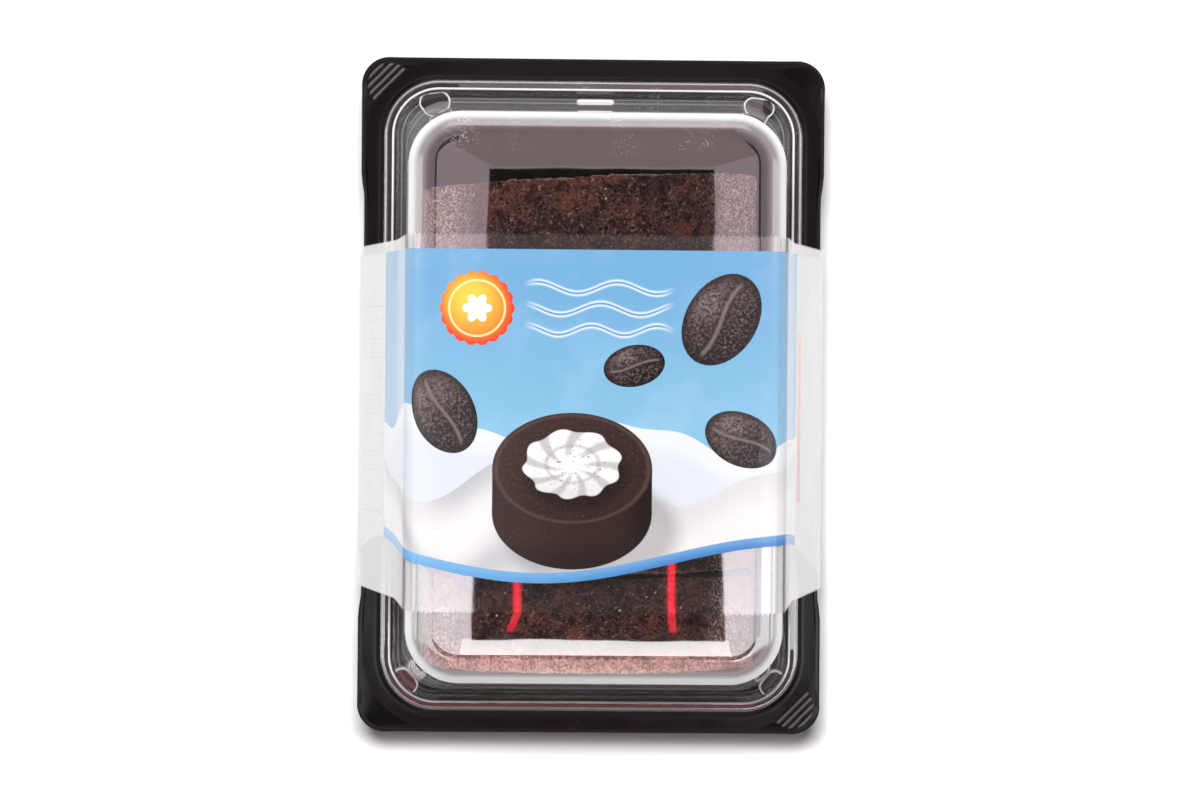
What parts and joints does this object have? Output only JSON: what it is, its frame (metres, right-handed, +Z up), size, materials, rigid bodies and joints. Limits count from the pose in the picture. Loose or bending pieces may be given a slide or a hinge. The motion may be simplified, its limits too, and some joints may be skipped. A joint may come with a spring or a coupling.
{
  "type": "packaged swiss roll",
  "caption": "Sliced cocoa swiss roll with cream filling in a shut retail pack: black thermoformed tray, clear domed lid and printed film band.",
  "frame": {"origin": "under the middle of the tray, level with the bottoms of its feet", "axes": "+X across the pack, +Y along the roll towards the end of the pack with the wider clear margin, +Z up from the tray to the top of the dome"},
  "size_m": [0.1064, 0.1552, 0.0737],
  "materials": {
    "tray_plastic": "black thermoformed sheet, glossy",
    "lid_plastic": "clear thermoformed sheet, glossy",
    "printed_film": "thin film, printed sky blue and white, with clear margins",
    "cocoa_sponge": "porous dark cocoa sponge cake",
    "white_cream": "whipped cream with dark biscuit crumbs"
  },
  "bodies": {
    "root": {"tray": "tray_plastic", "lid": "lid_plastic", "band": "printed_film", "sponge_1": "cocoa_sponge", "sponge_2": "cocoa_sponge", "sponge_3": "cocoa_sponge", "sponge_4": "cocoa_sponge", "sponge_5": "cocoa_sponge", "cream_1": "white_cream", "cream_2": "white_cream", "cream_3": "white_cream", "cream_4": "white_cream", "cream_5": "white_cream"}
  },
  "joints": []
}
